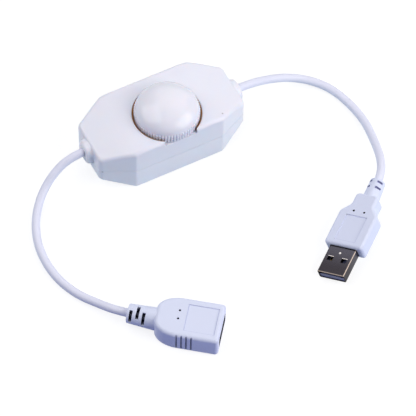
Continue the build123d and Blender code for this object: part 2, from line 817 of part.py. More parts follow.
def group(frame, shapes):
    """Several separate pieces as one group, placed in a frame."""
    return Compound(children=[frame * shape for shape in shapes])


grip_shape, grip_relief = make_plug_grip()
plug_turn = Rot(0, 0, plug_heading) * Rot(0, plug_dip, 0) * Rot(plug_roll, 0, 0)
plug_frame = seated(Pos(plug_x, plug_y, 0) * plug_turn, grip_shape)
socket_shape, socket_relief = make_socket_body()
socket_frame = seated(Pos(socket_x, socket_y, 0) * Rot(0, 0, socket_heading), socket_shape)

nodes = {
    "upper_housing": make_upper_housing(),
    "lower_housing": make_lower_housing(),
    "housing_screws": make_housing_screws(),
    "knob": make_knob(),
    "potentiometer_case": make_potentiometer_case(),
    "potentiometer_bush": make_potentiometer_bush(),
    "potentiometer_shaft": make_potentiometer_shaft(),
    "potentiometer_terminals": make_potentiometer_terminals(),
    "circuit_board": make_circuit_board(),
    "control_chip": make_control_chip(),
    "power_transistor": make_power_transistor(),
    "electrolytic_capacitor": make_electrolytic_capacitor(),
    "protection_diode": make_protection_diode(),
    "chip_resistors": make_chip_resistors(),
    "input_leads": make_leads(1),
    "output_leads": make_leads(-1),
    "input_cord": make_cord("input_cord", cord_points(1, input_route, plug_frame * grip_relief)),
    "plug_overmould": plug_frame * grip_shape,
    "plug_shell": plug_frame * make_plug_shell(),
    "plug_insulator": plug_frame * make_plug_insulator(),
    "plug_contacts": group(plug_frame, make_plug_contacts()),
    "output_cord": make_cord("output_cord", cord_points(-1, output_route, socket_frame * socket_relief)),
    "socket_overmould": socket_frame * socket_shape,
    "socket_shell": socket_frame * make_socket_shell(),
    "socket_insulator": socket_frame * make_socket_insulator(),
    "socket_contacts": group(socket_frame, make_socket_contacts()),
}

os.makedirs("parts", exist_ok=True)
for name, shape in nodes.items():
    export_step(shape, f"parts/{name}.step")
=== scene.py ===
"""Looks of a rotary lamp dimmer with a plug lead and a socket lead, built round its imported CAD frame.

Everything is in metres in the frame of the CAD model: the origin is the middle of the housing's flat bottom,
+X runs along the housing towards the plug lead, and the table is z = 0.
"""
import math

import bpy
import numpy as np
from bpy.props import FloatProperty, FloatVectorProperty, PointerProperty
from mathutils import Euler, Matrix, Vector


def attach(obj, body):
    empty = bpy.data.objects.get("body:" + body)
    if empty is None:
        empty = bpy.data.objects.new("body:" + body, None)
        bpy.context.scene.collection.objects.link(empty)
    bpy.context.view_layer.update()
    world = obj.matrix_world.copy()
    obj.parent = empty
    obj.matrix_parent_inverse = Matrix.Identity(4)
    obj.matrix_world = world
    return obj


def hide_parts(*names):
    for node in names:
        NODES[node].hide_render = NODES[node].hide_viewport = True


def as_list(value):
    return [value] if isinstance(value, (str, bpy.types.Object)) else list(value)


bl_info = {
    "name": "Rotary dimmer looks",
    "version": (1, 0, 0),
    "blender": (4, 5, 0),
    "location": "View3D > Sidebar > Dimmer",
    "description": "Finishes the pieces of an inline rotary lamp dimmer and sets the stage for it",
    "category": "Object",
}

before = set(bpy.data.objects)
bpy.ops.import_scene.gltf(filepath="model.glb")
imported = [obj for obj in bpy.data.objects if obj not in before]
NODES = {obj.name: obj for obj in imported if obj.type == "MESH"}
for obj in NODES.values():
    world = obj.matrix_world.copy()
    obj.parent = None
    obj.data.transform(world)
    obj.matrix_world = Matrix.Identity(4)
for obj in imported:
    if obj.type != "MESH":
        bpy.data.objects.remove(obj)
MM = 0.001

# Routes of the two cords, as in the part's source
CORD_DIAMETER = 3.5 * MM
INPUT_LENGTH = 112.2 * MM
INPUT_ROUTE = (
    (0.0311, 0.0, 0.0136), (0.0407, 0.0, 0.0136), (0.0505, 0.0015, 0.009), (0.0603, 0.0015, 0.0046),
    (0.0695, -0.0035, 0.0023), (0.0756, -0.0127, 0.0018), (0.0787, -0.0291, 0.0018),
    (0.0757, -0.0439, 0.0046), (0.072, -0.0553, 0.0085), (0.0678, -0.0623, 0.00926),
    (0.06223, -0.06714, 0.00865))
OUTPUT_LENGTH = 108.6 * MM
OUTPUT_ROUTE = (
    (-0.0311, 0.0, 0.0136), (-0.0401, 0.0, 0.0136), (-0.0484, -0.001, 0.0099), (-0.0567, -0.0049, 0.0045),
    (-0.0642, -0.014, 0.0018), (-0.069, -0.0271, 0.0019), (-0.069, -0.0418, 0.0018),
    (-0.0649, -0.0534, 0.0018), (-0.0594, -0.0617, 0.0026), (-0.05518, -0.06927, 0.005),
    (-0.04859, -0.0751, 0.005))
GLAND_FACE = 35.5 * MM
CORD_HEIGHT = 13.6 * MM

# Fineness of the cords: the bevel's resolution, and the steps from one control point to the next
CORD_ROUNDNESS = 8
CORD_STEPS = 16

# Painted shadow under the output cord where it leaves its gland: limits of its distance from the cord's line,
# its X and its Y
GAP_SHADE_RING = (0.55 * CORD_DIAMETER, 0.68 * CORD_DIAMETER)
GAP_SHADE_FACE = (0.6 * MM - GLAND_FACE, 1.2 * MM - GLAND_FACE)
GAP_SHADE_FRONT = (-1.4 * MM, 0.0)

# Knob and its opening, as in the part's source
HOUSING_TOP = 22.5 * MM
OPENING_RADIUS = 14.3 * MM
KNOB_CENTRE = (0.6 * MM, -3.8 * MM)
KNOB_RADIUS = 13.5 * MM
KNOB_BOTTOM = 20.6 * MM
SKIRT_HEIGHT = 4.0 * MM
DOME_HEIGHT = 7.0 * MM
DOME_INSET = 0.35 * MM
KNOB_WALL = 1.8 * MM
FLUTE_COUNT = 68
FLUTE_DEPTH = 0.5 * MM
HUB_RADIUS = 4.8 * MM
BORE_RADIUS = 3.02 * MM
BORE_DEPTH = 8.1 * MM

# Softened edges and fineness of the knob, steepness of its flutes, and the degrees from which edges are sharp
KNOB_EDGE = 0.1 * MM
DOME_RINGS = 40
POINTS_PER_FLUTE = 8
FLUTE_POWER = 1.5
KNOB_SHARP_ANGLE = 40.0

# Brown bead of painted shade in the gap round the knob: its start and end below the housing's top, half its
# gap at the slot in degrees, its fineness
BEAD_START = 0.3 * MM
BEAD_END = 2.0 * MM
BEAD_GAP_ANGLE = 31.0
BEAD_POINTS = 13
BEAD_RINGS = 161

# Plug: the middle of its tip and its turn about X, Y and Z in degrees, as in the part's source
PLUG_TIP = (28.1 * MM, -93.4 * MM, 4.265 * MM)
PLUG_TURN = (17.5, 5.8, 217.6)
SHELL_TOP = 2.25 * MM
SHELL_SIDE = 6.0 * MM
SHELL_OUT = 13.0 * MM
WINDOW_REAR = 7.8 * MM
WINDOW_ASIDE = 3.1 * MM
WINDOW_HALF = 1.25 * MM
DIMPLE_BACK = 10.0 * MM
DIMPLE_RADIUS = 0.5 * MM
PLUG_PANEL_FRONT = -15.2 * MM
PLUG_PANEL = (12.4 * MM, 9.2 * MM)

# Fineness of the dimple in the plug's shell
DIMPLE_RINGS = 6
DIMPLE_POINTS = 32

# Marks of the plug in its own frame, painted highlights and shade and a darker tip: where each starts and
# stops
HIGHLIGHT_TOP = (SHELL_TOP - 0.42 * MM, SHELL_TOP - 0.3 * MM)
HIGHLIGHT_FOLD = (SHELL_SIDE - 0.42 * MM, SHELL_SIDE - 0.32 * MM)
HIGHLIGHT_TIP = (-0.26 * MM, -0.14 * MM)
WINDOW_HIGHLIGHT = 0.22 * MM
DARKER_TIP = (0.2 * MM - SHELL_OUT, -2.0 * MM)
DARKER_TIP_STRENGTH = 0.85
SHELL_ROOT_SHADE = (0.35 * MM - SHELL_OUT, 0.8 * MM - SHELL_OUT)
RELIEF_START = (-37.0 * MM, -36.0 * MM)

# Socket: the middle of its mouth on the table and its turn in degrees, as in the part's source
SOCKET_PLACE = (-22.4 * MM, -96.3 * MM, 0.0)
SOCKET_HEADING = -38.3
SOCKET_TOP = 10.0 * MM
SOCKET_PANEL_FRONT = -2.1 * MM
SOCKET_PANEL = (12.3 * MM, 12.4 * MM)

# Painted shade on the socket: the lowest height of its panel's crease, and the heights where its cuts fade
# out
SOCKET_CREASE_BOTTOM = 9.0 * MM
SOCKET_CUT_TOP = (SOCKET_TOP - 0.45 * MM, SOCKET_TOP - 0.35 * MM)

# Painted shade in the creases round the panels: how dark it is, and how softly it ends
CREASE_SHADE_STRENGTH = 0.5
CREASE_FADE = 0.1 * MM

# Specks of dirt on the housing: their places, how dark they are, and the share of the radius that is darkest
SPECKS = ((-32.04 * MM, -10.62 * MM, 10.55 * MM), (20.7 * MM, -13.88 * MM, 21.78 * MM))
SPECK_STRENGTH = 0.45
SPECK_CORE = 0.3

# Moulded plastic: its faint clouds in colour and roughness, its IOR, and the light that sinks into it
CLOUD_SIZE = 9.0 * MM
CLOUD_SHADE = 0.965
CLOUD_ROUGHNESS = (0.85, 1.15)
PLASTIC_IOR = 1.53
SUNK_SHARE = 0.7
SUNK_TINT = (1.0, 0.75, 0.65)

# Drawn metal: its lines' length over their width, and how far they vary its colour, roughness and height
LINE_STRETCH = 8.0
LINE_SHADE = 0.85
LINE_ROUGHNESS = (0.7, 1.4)
LINE_HEIGHT = 0.004 * MM
LINE_STRENGTH = 0.4

# Smoothing of the CAD meshes: how near points are joined, and the angle from which an edge is sharp
JOIN_DISTANCE = 0.002 * MM
CAD_SHARP_ANGLE = 32.0

# Camera: its direction in degrees and distance from the origin, the picture in pixels, the sensor in mm
CAMERA_AZIMUTH = -27.021
CAMERA_ELEVATION = 53.832
CAMERA_DISTANCE = 1.2
CAMERA_REACH = 20.0
PICTURE = 416.0
ORIGIN_PIXEL = (161.309, 139.369)
FOCAL_PIXELS = 2919.6
SENSOR = 36.0

# Lamps: what they face, and each one's azimuth from +X and elevation in degrees and its linear colour
LAMP_AIM = (0.0, -0.04, 0.01)
LAMPS = {
    "key_light": (-48, 30, (1.0, 0.985, 0.95)),
    "fill_light": (150, 50, (1.0, 0.99, 0.97)),
    "back_light": (52, 46, (1.0, 1.0, 1.0)),
}

# Floor: half its side, the way to its front, where its bounced light darkens there, and its glow
FLOOR_HALF = 3.0
FLOOR_FRONT = (-0.454, -0.891, 0.0)
FLOOR_FADE = (0.05, 0.1)
FLOOR_GLOW = 0.82
WHITE = (1.0, 1.0, 1.0, 1.0)


def linear(hex_code):
    """Linear colour of an sRGB hex code: each channel c becomes ((c + 0.055) / 1.055) ** 2.4, or c / 12.92
    where it is very dark."""
    code = hex_code.lstrip("#")
    channels = [int(code[i:i + 2], 16) / 255 for i in (0, 2, 4)]
    return [c / 12.92 if c <= 0.04045 else ((c + 0.055) / 1.055) ** 2.4 for c in channels]


def rgba(colour):
    """A colour with full alpha."""
    return (*colour[:3], 1.0)


def colour_prop(name, description, hex_code):
    """Colour that a user may change, with its default from a hex code."""
    return FloatVectorProperty(name=name, description=description, subtype="COLOR", size=3, min=0.0, max=1.0,
                               default=linear(hex_code))


def size_prop(name, description, millimetres):
    """Size that a user may change, with its default in millimetres."""
    return FloatProperty(name=name, description=description, default=millimetres * MM, min=0.0, precision=5,
                         unit="LENGTH")


def power_prop(name, description, watts):
    """Power of a lamp that a user may change."""
    return FloatProperty(name=name, description=description, default=watts, min=0.0, unit="POWER")


class DimmerSizes(bpy.types.PropertyGroup):
    """Sizes of the details that are made here."""
    # Dust reach is how far the brown bead of painted shade stands out in the knob's opening
    bead_reach: size_prop("Dust reach", "How far the caked dust stands out in the knob's opening", 0.68)
    dimple_depth: size_prop("Dimple depth", "Depth of the round dimple in the plug's shell", 0.25)
    speck_radius: size_prop("Speck radius", "Radius of the dark specks on the housing", 0.55)
    # Panel crease is the width of the painted shade round the two panels
    crease: size_prop("Panel crease", "Width of the shaded creases round the two panels", 0.3)


class DimmerPlasticColours(bpy.types.PropertyGroup):
    """Colours of the moulded pieces."""
    housing: colour_prop("Housing", "Glossy plastic of the two housing halves", "#EBEBF7")
    knob: colour_prop("Knob", "Polished plastic of the knob", "#EDECF7")
    cord: colour_prop("Cord", "Soft vinyl jacket of the cords", "#E6E7F9")
    grip: colour_prop("Grips", "Soft vinyl of the plug's grip and the socket's body", "#DFE4FA")
    # Dust is the colour of the brown bead of painted shade in the knob's opening
    gap_shade: colour_prop("Dust", "Caked dust in the knob's opening", "#A0734E")
    # The plug insulator's colour is darker than clean nylon: painted shade, for its place deep in the shell
    plug_insulator: colour_prop("Plug insulator", "Soiled nylon inside the plug's shell", "#72779C")
    tongue: colour_prop("Socket tongue", "Clean nylon inside the socket", "#E4E5EC")


class DimmerMetalColours(bpy.types.PropertyGroup):
    """Colours of the metal pieces."""
    # The shells' colour is darker than plated nickel: painted shade, for the dark surroundings that they
    # mirror
    shell: colour_prop("Shells", "Nickel plated sheet steel of the plug and the socket", "#504E57")
    dimple: colour_prop("Dimple", "Bright pressed dimple in the plug's shell", "#C9C5C4")
    contact: colour_prop("Contacts", "Gold plated contacts", "#D9B46A")
    screw: colour_prop("Screws", "Zinc plated steel", "#A5A6A8")


class DimmerInsideColours(bpy.types.PropertyGroup):
    """Colours of the pieces inside the housing."""
    case: colour_prop("Potentiometer case", "Blue phenolic moulding", "#243352")
    bush: colour_prop("Bush", "Turned brass", "#C9A85C")
    shaft: colour_prop("Shaft", "Turned aluminium", "#BEC0C4")
    pins: colour_prop("Pins", "Tinned copper", "#B9B9B4")
    board: colour_prop("Board", "Brown phenolic paper laminate", "#8A5F33")
    can: colour_prop("Capacitor can", "Drawn aluminium", "#C4C6CA")
    resin: colour_prop("Packages", "Black epoxy of the small parts", "#1B1B1E")
    wire: colour_prop("Wires", "Red vinyl of the inner leads", "#B3261E")


class DimmerStage(bpy.types.PropertyGroup):
    """Lamps and sky."""
    key_light: power_prop("Key light", "Power of the soft box in front on the right", 5.9)
    fill_light: power_prop("Fill light", "Power of the soft box behind on the left", 3.6)
    back_light: power_prop("Back light", "Power of the soft box behind on the right", 1.6)
    lamp_size: size_prop("Lamp size", "Side of each square soft box", 800.0)
    lamp_distance: size_prop("Lamp distance", "Distance of each soft box from the object's middle", 800.0)
    sky: FloatProperty(name="Sky", description="Strength of the even light from all round", default=0.17,
                       min=0.0)


def add_node(tree, kind, settings=None, **links):
    """Adds one node. Settings are its properties. Each link is a value for a socket, or a socket to join to
    it, under the socket's name, with _ for a space, or under i and the socket's number."""
    node = tree.nodes.new(kind)
    for key, value in (settings or {}).items():
        setattr(node, key, value)
    for key, value in links.items():
        name = key.replace("_", " ")
        socket = node.inputs[int(key[1:])] if key[0] == "i" and key[1:].isdigit() else node.inputs[name]
        if isinstance(value, bpy.types.NodeSocket):
            tree.links.new(value, socket)
        else:
            socket.default_value = value
    return node


def new_material(name):
    """Node material with its output node and its Object coordinates, which are metres in the CAD frame."""
    material = bpy.data.materials.new(name)
    material.use_nodes = True
    tree = material.node_tree
    tree.nodes.clear()
    output = add_node(tree, "ShaderNodeOutputMaterial")
    where = add_node(tree, "ShaderNodeTexCoord").outputs["Object"]
    return material, tree, output, where


def finish(obj, material):
    """Gives a piece one material on all its slots."""
    if not obj.material_slots:
        obj.data.materials.append(material)
    for slot in obj.material_slots:
        slot.material = material


def zone(tree, *limits, within=None):
    """Mask of a zone: the product of one smooth step for each limit, and of a mask that the zone lies within.
    A limit is a value, where its step starts and stops, and the numbers that it has before and after."""
    product = within
    for value, start, stop, before, after in limits:
        step = add_node(tree, "ShaderNodeMapRange", {"interpolation_type": "SMOOTHSTEP"}, Value=value,
                        From_Min=start, From_Max=stop, To_Min=before, To_Max=after).outputs["Result"]
        product = step if product is None else add_node(
            tree, "ShaderNodeMath", {"operation": "MULTIPLY"}, i0=product, i1=step).outputs[0]
    return product


def cavity_shade(local, reach_mm, closed, opened):
    """Mask of painted shade in narrow cuts, holes and deep corners: places from which little of the open
    space within a reach is seen. Where local is true, only the piece's own faces close it in. The share of
    open directions runs from a closed place, where the mask is full, to an opened one."""
    def mask(tree, where):
        sky = add_node(tree, "ShaderNodeAmbientOcclusion", {"samples": 16, "only_local": local},
                       Distance=reach_mm * MM)
        return zone(tree, (sky.outputs["AO"], closed, opened, 1.0, 0.0))
    return mask


def own_coords(tree, where, place, turn):
    """Coordinates in the own frame of a piece at a place, with a turn about X, Y and Z in degrees."""
    own = add_node(tree, "ShaderNodeMapping", {"vector_type": "TEXTURE"}, Vector=where, Location=place,
                   Rotation=[math.radians(angle) for angle in turn])
    return add_node(tree, "ShaderNodeSeparateXYZ", {}, Vector=own.outputs["Vector"]).outputs


def plug_coords(tree, where):
    """Coordinates in the plug's own frame: +X out of its tip and +Z through its top face."""
    return own_coords(tree, where, PLUG_TIP, PLUG_TURN)


def speck(centre):
    """Mark of one small dark speck of dirt, which fades out to its rim."""
    radius = bpy.context.scene.dimmer_sizes.speck_radius

    def mask(tree, where):
        apart = add_node(tree, "ShaderNodeVectorMath", {"operation": "DISTANCE"}, i0=where, i1=centre)
        return zone(tree, (apart.outputs["Value"], SPECK_CORE * radius, radius, SPECK_STRENGTH, 0.0))
    return mask, "#5A4A40"


def gland_gap_shade(tree, where):
    """Painted shadow under the output cord where it leaves its gland: a dark crescent on the cord's front
    side.
    """
    place = add_node(tree, "ShaderNodeSeparateXYZ", {}, Vector=where).outputs
    level = add_node(tree, "ShaderNodeVectorMath", {"operation": "MULTIPLY"}, i0=where, i1=(0.0, 1.0, 1.0))
    apart = add_node(tree, "ShaderNodeVectorMath", {"operation": "DISTANCE"}, i0=level.outputs["Vector"],
                     i1=(0.0, 0.0, CORD_HEIGHT)).outputs["Value"]
    return zone(tree, (apart, *GAP_SHADE_RING, 1.0, 0.0), (place["X"], *GAP_SHADE_FACE, 1.0, 0.0),
                (place["Y"], *GAP_SHADE_FRONT, 1.0, 0.0))


def panel_crease_shade(tree, place, front, size, bottom):
    """Painted shade along the rim of a recessed panel, where it lies above a bottom. The distance in from the
    rim is the smaller of those from its ends and from its sides."""
    half = bpy.context.scene.dimmer_sizes.crease / 2
    middle = add_node(tree, "ShaderNodeMath", {"operation": "SUBTRACT"}, i0=place["X"],
                      i1=front - size[0] / 2).outputs[0]
    apart = []
    for offset, length in ((middle, size[0]), (place["Y"], size[1])):
        aside = add_node(tree, "ShaderNodeMath", {"operation": "ABSOLUTE"}, i0=offset).outputs[0]
        apart.append(add_node(tree, "ShaderNodeMath", {"operation": "SUBTRACT"}, i0=length / 2,
                              i1=aside).outputs[0])
    inward = add_node(tree, "ShaderNodeMath", {"operation": "MINIMUM"}, i0=apart[0], i1=apart[1]).outputs[0]
    rim = add_node(tree, "ShaderNodeMath", {"operation": "COMPARE"}, i0=inward, i1=half, i2=half).outputs[0]
    return zone(tree, (place["Z"], bottom, bottom + CREASE_FADE, 0.0, CREASE_SHADE_STRENGTH), within=rim)


def plug_panel_shade(tree, where):
    """Painted shade in the crease round the panel on the plug's grip, but for its left side, which catches
    the light.
    """
    place = plug_coords(tree, where)
    crease = panel_crease_shade(tree, place, PLUG_PANEL_FRONT, PLUG_PANEL, SHELL_TOP)
    left = -PLUG_PANEL[1] / 2 + bpy.context.scene.dimmer_sizes.crease
    return zone(tree, (place["Y"], left, left + CREASE_FADE, 0.0, 1.0), within=crease)


def socket_panel_shade(tree, where):
    """Painted shade in the crease round the panel on the socket."""
    place = own_coords(tree, where, SOCKET_PLACE, (0.0, 0.0, SOCKET_HEADING))
    return panel_crease_shade(tree, place, SOCKET_PANEL_FRONT, SOCKET_PANEL, SOCKET_CREASE_BOTTOM)


def edge_highlights(tree, where):
    """Painted highlight on edges of the plug's shell: its right fold and the upper rim of its tip."""
    place = plug_coords(tree, where)
    fold = zone(tree, (place["Y"], *HIGHLIGHT_FOLD, 0.0, 1.0))
    tip = zone(tree, (place["X"], *HIGHLIGHT_TIP, 0.0, 1.0))
    edge = add_node(tree, "ShaderNodeMath", {"operation": "MAXIMUM"}, i0=fold, i1=tip).outputs[0]
    return zone(tree, (place["Z"], *HIGHLIGHT_TOP, 0.0, 1.0), within=edge)


def window_highlights(tree, where):
    """Painted highlight on the cut edges of the plug's two windows on the side of the grip."""
    place = plug_coords(tree, where)
    aside = add_node(tree, "ShaderNodeMath", {"operation": "ABSOLUTE"}, i0=place["Y"]).outputs[0]
    across = add_node(tree, "ShaderNodeMath", {"operation": "COMPARE"}, i0=aside, i1=WINDOW_ASIDE,
                      i2=WINDOW_HALF).outputs[0]
    along = add_node(tree, "ShaderNodeMath", {"operation": "COMPARE"}, i0=place["X"], i1=-WINDOW_REAR,
                     i2=WINDOW_HIGHLIGHT).outputs[0]
    return add_node(tree, "ShaderNodeMath", {"operation": "MULTIPLY"}, i0=across, i1=along).outputs[0]


def darker_tip(tree, where):
    """Outer end of the plug's shell, which grows darker towards its tip."""
    return zone(tree, (plug_coords(tree, where)["X"], *DARKER_TIP, 0.0, DARKER_TIP_STRENGTH))


def shell_root_shade(tree, where):
    """Painted shade at the root of the plug's shell, in the corner with the grip."""
    return zone(tree, (plug_coords(tree, where)["X"], *SHELL_ROOT_SHADE, 1.0, 0.0))


def relief_slot_shade(tree, where):
    """Painted shade in the slots of the plug's strain relief."""
    slots = cavity_shade(True, 2.0, 0.35, 0.62)(tree, where)
    return zone(tree, (plug_coords(tree, where)["X"], *RELIEF_START, 1.0, 0.0), within=slots)


def grip_hole_shade(tree, where):
    """Painted shade in the pin holes of the plug's grip."""
    holes = cavity_shade(True, 2.0, 0.35, 0.5)(tree, where)
    return zone(tree, (plug_coords(tree, where)["X"], *RELIEF_START, 0.0, 1.0), within=holes)


def socket_cut_shade(tree, where):
    """Painted shade in the pin holes, grooves and relief slots of the socket, which lie below the step of its
    recessed panel.
    """
    height = add_node(tree, "ShaderNodeSeparateXYZ", {}, Vector=where).outputs["Z"]
    cut_shades = cavity_shade(True, 2.0, 0.3, 0.62)(tree, where)
    return zone(tree, (height, *SOCKET_CUT_TOP, 1.0, 0.0), within=cut_shades)


def marked(tree, where, shade, marks):
    """A colour with marks over it. Each mark is a mask and the hex code of the colour that it lays there."""
    for mask, hex_code in marks:
        shade = add_node(tree, "ShaderNodeMixRGB", {}, Fac=mask(tree, where), Color1=shade,
                         Color2=rgba(linear(hex_code))).outputs[0]
    return shade


def moulded_plastic(name, colour, roughness, grain_mm, height_mm, marks=(), gloss=0.5, depth_mm=0.0):
    """Moulded plastic or vinyl: an even colour with faint clouds, and the fine orange peel that a mould
    leaves, under a soft gloss. Gloss is the specular level, and depth is how far light sinks into it."""
    material, tree, output, where = new_material(name)
    cloud = add_node(tree, "ShaderNodeTexNoise", {}, Vector=where, Scale=1 / CLOUD_SIZE, Detail=2.0)
    shade = add_node(tree, "ShaderNodeMixRGB", {}, Fac=cloud.outputs["Fac"],
                     Color1=rgba([c * CLOUD_SHADE for c in colour]), Color2=rgba(colour)).outputs[0]
    # Real orange peel is about 0.05 mm, too fine to show, so pieces in view have it drawn at 0.3 to 0.6 mm
    grain = add_node(tree, "ShaderNodeTexNoise", {}, Vector=where, Scale=1 / (grain_mm * MM), Detail=3.0)
    bump = add_node(tree, "ShaderNodeBump", {}, Strength=1.0, Distance=height_mm * MM,
                    Height=grain.outputs["Fac"])
    rough = add_node(tree, "ShaderNodeMapRange", {}, Value=cloud.outputs["Fac"],
                     To_Min=roughness * CLOUD_ROUGHNESS[0], To_Max=roughness * CLOUD_ROUGHNESS[1])
    shader = add_node(tree, "ShaderNodeBsdfPrincipled", {}, Base_Color=marked(tree, where, shade, marks),
                      Roughness=rough.outputs["Result"], IOR=PLASTIC_IOR, Specular_IOR_Level=gloss,
                      Normal=bump.outputs["Normal"], Subsurface_Weight=SUNK_SHARE if depth_mm else 0.0,
                      Subsurface_Radius=SUNK_TINT, Subsurface_Scale=depth_mm * MM)
    tree.links.new(shader.outputs["BSDF"], output.inputs["Surface"])
    return material


def drawn_metal(name, colour, roughness, line_mm, marks=()):
    """Plated sheet or turned metal: fine tool lines along X vary its colour, gloss and height a little."""
    material, tree, output, where = new_material(name)
    stretch = add_node(tree, "ShaderNodeMapping", {}, Vector=where, Scale=(1.0, LINE_STRETCH, LINE_STRETCH))
    # Real lines are about 0.02 mm wide, too fine to show, so they are drawn about 0.1 mm wide
    lines = add_node(tree, "ShaderNodeTexNoise", {}, Vector=stretch.outputs["Vector"],
                     Scale=1 / (LINE_STRETCH * line_mm * MM), Detail=4.0)
    shade = add_node(tree, "ShaderNodeMixRGB", {}, Fac=lines.outputs["Fac"],
                     Color1=rgba([c * LINE_SHADE for c in colour]), Color2=rgba(colour)).outputs[0]
    rough = add_node(tree, "ShaderNodeMapRange", {}, Value=lines.outputs["Fac"],
                     To_Min=roughness * LINE_ROUGHNESS[0], To_Max=roughness * LINE_ROUGHNESS[1])
    bump = add_node(tree, "ShaderNodeBump", {}, Strength=LINE_STRENGTH, Distance=LINE_HEIGHT,
                    Height=lines.outputs["Fac"])
    shader = add_node(tree, "ShaderNodeBsdfPrincipled", {}, Base_Color=marked(tree, where, shade, marks),
                      Metallic=1.0, Roughness=rough.outputs["Result"], Normal=bump.outputs["Normal"])
    tree.links.new(shader.outputs["BSDF"], output.inputs["Surface"])
    return material


def smoothing_group():
    """Node group that joins a CAD mesh's loose triangles and shades it smooth between its sharp edges."""
    group = bpy.data.node_groups.new("joined_smooth_faces", "GeometryNodeTree")
    group.interface.new_socket("Geometry", in_out="INPUT", socket_type="NodeSocketGeometry")
    group.interface.new_socket("Geometry", in_out="OUTPUT", socket_type="NodeSocketGeometry")
    start = add_node(group, "NodeGroupInput").outputs[0]
    joined = add_node(group, "GeometryNodeMergeByDistance", {}, Geometry=start,
                      Distance=JOIN_DISTANCE).outputs[0]
    smooth = add_node(group, "GeometryNodeSetShadeSmooth", {"domain": "FACE"}, Geometry=joined,
                      Shade_Smooth=True).outputs[0]
    angle = add_node(group, "GeometryNodeInputMeshEdgeAngle").outputs["Unsigned Angle"]
    sharp = add_node(group, "FunctionNodeCompare", {"data_type": "FLOAT", "operation": "GREATER_THAN"},
                     i0=angle, i1=math.radians(CAD_SHARP_ANGLE)).outputs[0]
    edged = add_node(group, "GeometryNodeSetShadeSmooth", {"domain": "EDGE"}, Geometry=smooth,
                     Selection=sharp, Shade_Smooth=False).outputs[0]
    add_node(group, "NodeGroupOutput", {}, i0=edged)
    return group


def dress(name, material):
    """Finishes a CAD node. Modifiers join and smooth its faces, and leave its own mesh as it is."""
    node = NODES[name]
    modifier = node.modifiers.new("joined_smooth_faces", "NODES")
    modifier.node_group = bpy.data.node_groups.get("joined_smooth_faces") or smoothing_group()
    weigh = node.modifiers.new("face_weighted_normals", "WEIGHTED_NORMAL")
    weigh.keep_sharp = True
    finish(node, material)


def round_mesh(name, rings, first_pole=None, last_pole=None):
    """Mesh of rings of points, an array of shape (rings, points, 3): quads between neighbouring rings, each
    ring closed, and fans of triangles from the poles to the first and the last ring."""
    count, around = rings.shape[:2]
    index = np.arange(count * around).reshape(count, around)
    after = np.roll(index, -1, axis=1)
    faces = np.stack((index[:-1], index[1:], after[1:], after[:-1]), axis=-1).reshape(-1, 4).tolist()
    points = rings.reshape(-1, 3).tolist()
    if first_pole is not None:
        faces += np.stack((np.full(around, len(points)), index[0], after[0]), axis=-1).tolist()
        points.append(list(first_pole))
    if last_pole is not None:
        faces += np.stack((np.full(around, len(points)), after[-1], index[-1]), axis=-1).tolist()
        points.append(list(last_pole))
    mesh = bpy.data.meshes.new(name)
    mesh.from_pydata(points, [], faces)
    mesh.update()
    mesh.shade_smooth()
    return mesh


def add_object(name, data):
    """Links a new object to the scene."""
    obj = bpy.data.objects.new(name, data)
    bpy.context.scene.collection.objects.link(obj)
    return obj


def add_piece(name, data, body, material):
    """Links a new piece, finishes it and lets it ride on a body."""
    obj = add_object(name, data)
    finish(obj, material)
    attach(obj, body)
    return obj


class DIMMER_OT_cords(bpy.types.Operator):
    """Lays the two cords along their routes"""
    bl_idname = "dimmer.cords"
    bl_label = "Cords"

    def cord(self, name, route, length, side, node, pieces, material):
        """Round tube on a NURBS curve of order 3 whose control points are the route's points."""
        curve = bpy.data.curves.new(name, "CURVE")
        curve.dimensions = "3D"
        curve.bevel_depth = CORD_DIAMETER / 2
        curve.bevel_resolution = CORD_ROUNDNESS
        curve.resolution_u = CORD_STEPS
        curve.use_fill_caps = True
        spline = curve.splines.new("NURBS")
        spline.points.add(len(route) - 1)
        spline.points.foreach_set("co", [c for point in route for c in (*point, 1.0)])
        spline.order_u = 3
        spline.use_endpoint_u = True
        spline.use_smooth = True
        obj = add_piece(name, curve, "housing", material)
        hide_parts(node)
        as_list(pieces)

    def execute(self, context):
        # Extruded soft vinyl: satin, with a dull broad shine along its upper side
        vinyl = moulded_plastic("soft_vinyl_cord_jacket", context.scene.dimmer_plastics.cord, roughness=0.34,
                                grain_mm=0.5, height_mm=0.006, gloss=0.3)
        self.cord("input_cord_jacket", INPUT_ROUTE, INPUT_LENGTH, 1, "input_cord",
                  ["plug_overmould", "plug_shell", "plug_insulator", "plug_contacts"], vinyl)
        self.cord("output_cord_jacket", OUTPUT_ROUTE, OUTPUT_LENGTH, -1, "output_cord",
                  ["socket_overmould", "socket_shell", "socket_insulator", "socket_contacts"], vinyl)
        return {"FINISHED"}


